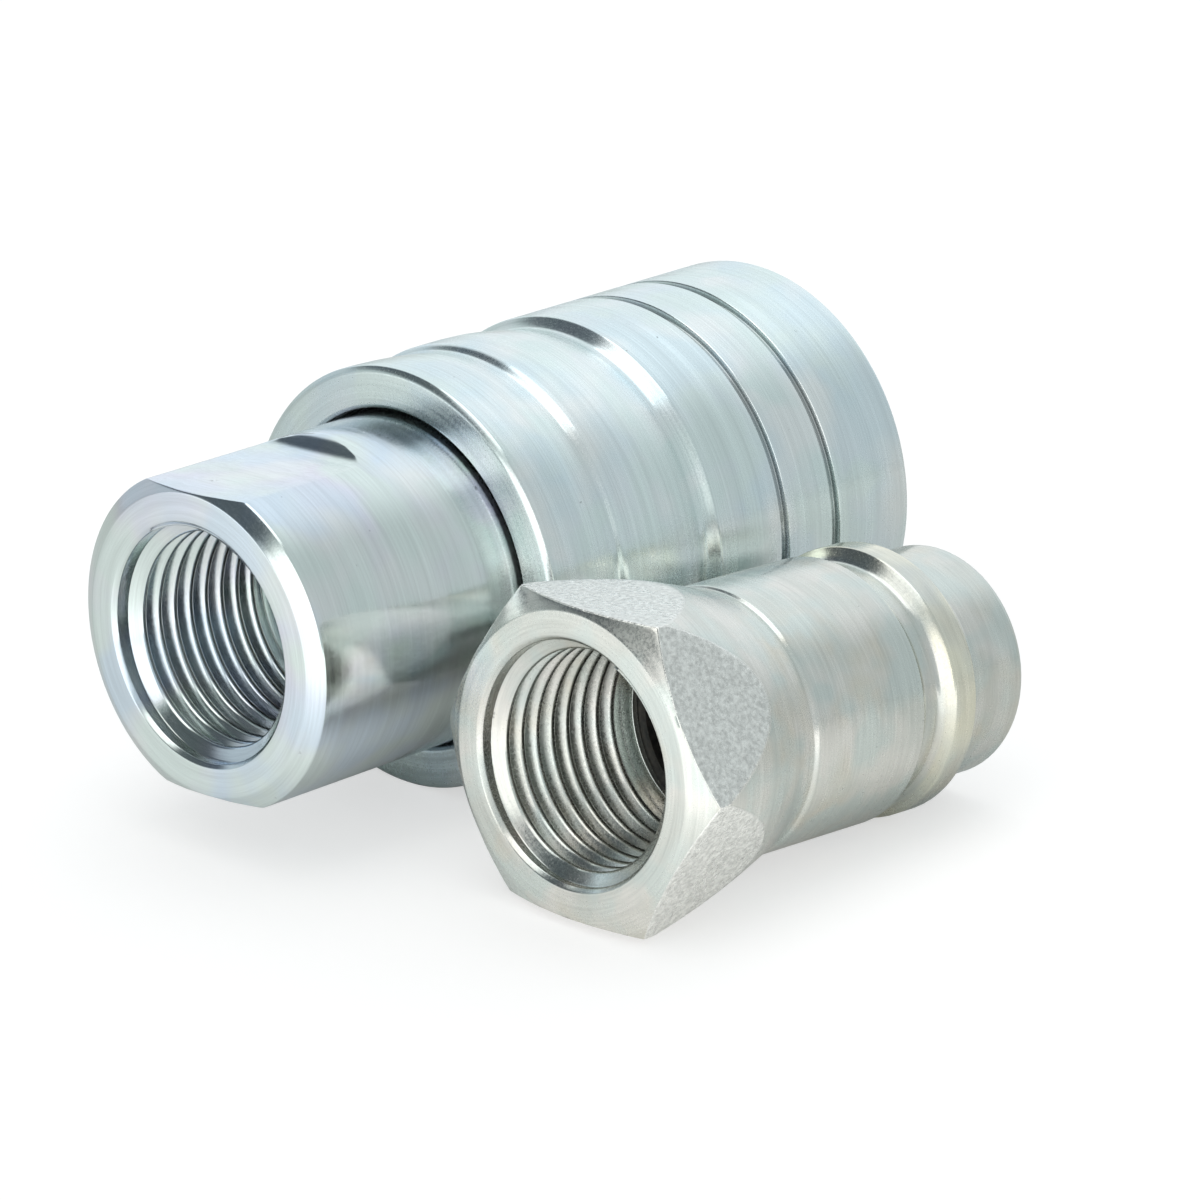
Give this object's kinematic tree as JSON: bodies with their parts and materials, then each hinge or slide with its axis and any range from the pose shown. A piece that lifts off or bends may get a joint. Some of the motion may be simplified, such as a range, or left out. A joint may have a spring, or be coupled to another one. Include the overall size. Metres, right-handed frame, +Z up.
{
  "type": "poppet quick coupling",
  "caption": "Two-part screw-in quick coupling: a ball-lock socket with a spring-loaded sliding sleeve, and a hexagonal plug lying uncoupled beside it, each with its own poppet valve.",
  "frame": {"origin": "on the surface both halves lie on, under the middle of the pair's bounding box", "axes": "+X along the socket's axis, from its threaded port to its mouth; +Y from the plug towards the socket; +Z up"},
  "size_m": [0.07, 0.068, 0.038],
  "materials": {
    "zinc_steel": "satin",
    "zinc_steel_dull": "satin",
    "valve_steel": "satin",
    "spring_steel": "satin",
    "ball_steel": "polished",
    "seal_rubber": "matte",
    "backup_plastic": "matte",
    "ring_steel": "satin"
  },
  "bodies": {
    "shells": {"port_adapter": "zinc_steel", "valve_body": "zinc_steel_dull", "joint_seal": "seal_rubber", "nose_seal": "seal_rubber", "backup_ring": "backup_plastic", "sleeve_spring": "spring_steel", "socket_valve_spring": "spring_steel", "socket_valve_guide": "valve_steel", "socket_retaining_ring": "ring_steel", "plug_body": "zinc_steel_dull", "plug_valve_spring": "spring_steel", "plug_valve_guide": "valve_steel", "plug_retaining_ring": "ring_steel"},
    "sleeve": {"sleeve": "zinc_steel"},
    "socket_poppet": {"socket_poppet": "valve_steel", "socket_poppet_seal": "seal_rubber"},
    "plug_poppet": {"plug_poppet": "valve_steel", "plug_poppet_seal": "seal_rubber"},
    "ball_1": {"ball_1": "ball_steel"},
    "ball_2": {"ball_2": "ball_steel"},
    "ball_3": {"ball_3": "ball_steel"},
    "ball_4": {"ball_4": "ball_steel"},
    "ball_5": {"ball_5": "ball_steel"},
    "ball_6": {"ball_6": "ball_steel"},
    "ball_7": {"ball_7": "ball_steel"},
    "ball_8": {"ball_8": "ball_steel"}
  },
  "joints": [
    {"name": "sleeve_slide", "type": "slide", "parent": "shells", "child": "sleeve", "axis": [-1, 0, 0], "range_m": [0, 0.005], "stiffness_N_per_m": 4000, "springref_m": -0.006, "deforming": ["sleeve_spring"]},
    {"name": "socket_poppet_slide", "type": "slide", "parent": "shells", "child": "socket_poppet", "axis": [-1, 0, 0], "range_m": [0, 0.004], "stiffness_N_per_m": 2500, "springref_m": -0.004, "deforming": ["socket_valve_spring"]},
    {"name": "plug_poppet_slide", "type": "slide", "parent": "shells", "child": "plug_poppet", "axis": [-0.9984, 0, 0.057], "range_m": [0, 0.004], "stiffness_N_per_m": 2500, "springref_m": -0.004, "deforming": ["plug_valve_spring"]},
    {"name": "ball_1_slide", "type": "slide", "parent": "shells", "child": "ball_1", "axis": [0, 0.3827, -0.9239], "range_m": [0, 0.001]},
    {"name": "ball_2_slide", "type": "slide", "parent": "shells", "child": "ball_2", "axis": [0, 0.9239, -0.3827], "range_m": [0, 0.001]},
    {"name": "ball_3_slide", "type": "slide", "parent": "shells", "child": "ball_3", "axis": [0, 0.9239, 0.3827], "range_m": [0, 0.001]},
    {"name": "ball_4_slide", "type": "slide", "parent": "shells", "child": "ball_4", "axis": [0, 0.3827, 0.9239], "range_m": [0, 0.001]},
    {"name": "ball_5_slide", "type": "slide", "parent": "shells", "child": "ball_5", "axis": [0, -0.3827, 0.9239], "range_m": [0, 0.001]},
    {"name": "ball_6_slide", "type": "slide", "parent": "shells", "child": "ball_6", "axis": [0, -0.9239, 0.3827], "range_m": [0, 0.001]},
    {"name": "ball_7_slide", "type": "slide", "parent": "shells", "child": "ball_7", "axis": [0, -0.9239, -0.3827], "range_m": [0, 0.001]},
    {"name": "ball_8_slide", "type": "slide", "parent": "shells", "child": "ball_8", "axis": [0, -0.3827, -0.9239], "range_m": [0, 0.001]}
  ],
  "couplings": [
    {"joint": "ball_1_slide", "follows": "sleeve_slide", "ratio": 0.2},
    {"joint": "ball_2_slide", "follows": "sleeve_slide", "ratio": 0.2},
    {"joint": "ball_3_slide", "follows": "sleeve_slide", "ratio": 0.2},
    {"joint": "ball_4_slide", "follows": "sleeve_slide", "ratio": 0.2},
    {"joint": "ball_5_slide", "follows": "sleeve_slide", "ratio": 0.2},
    {"joint": "ball_6_slide", "follows": "sleeve_slide", "ratio": 0.2},
    {"joint": "ball_7_slide", "follows": "sleeve_slide", "ratio": 0.2},
    {"joint": "ball_8_slide", "follows": "sleeve_slide", "ratio": 0.2}
  ]
}
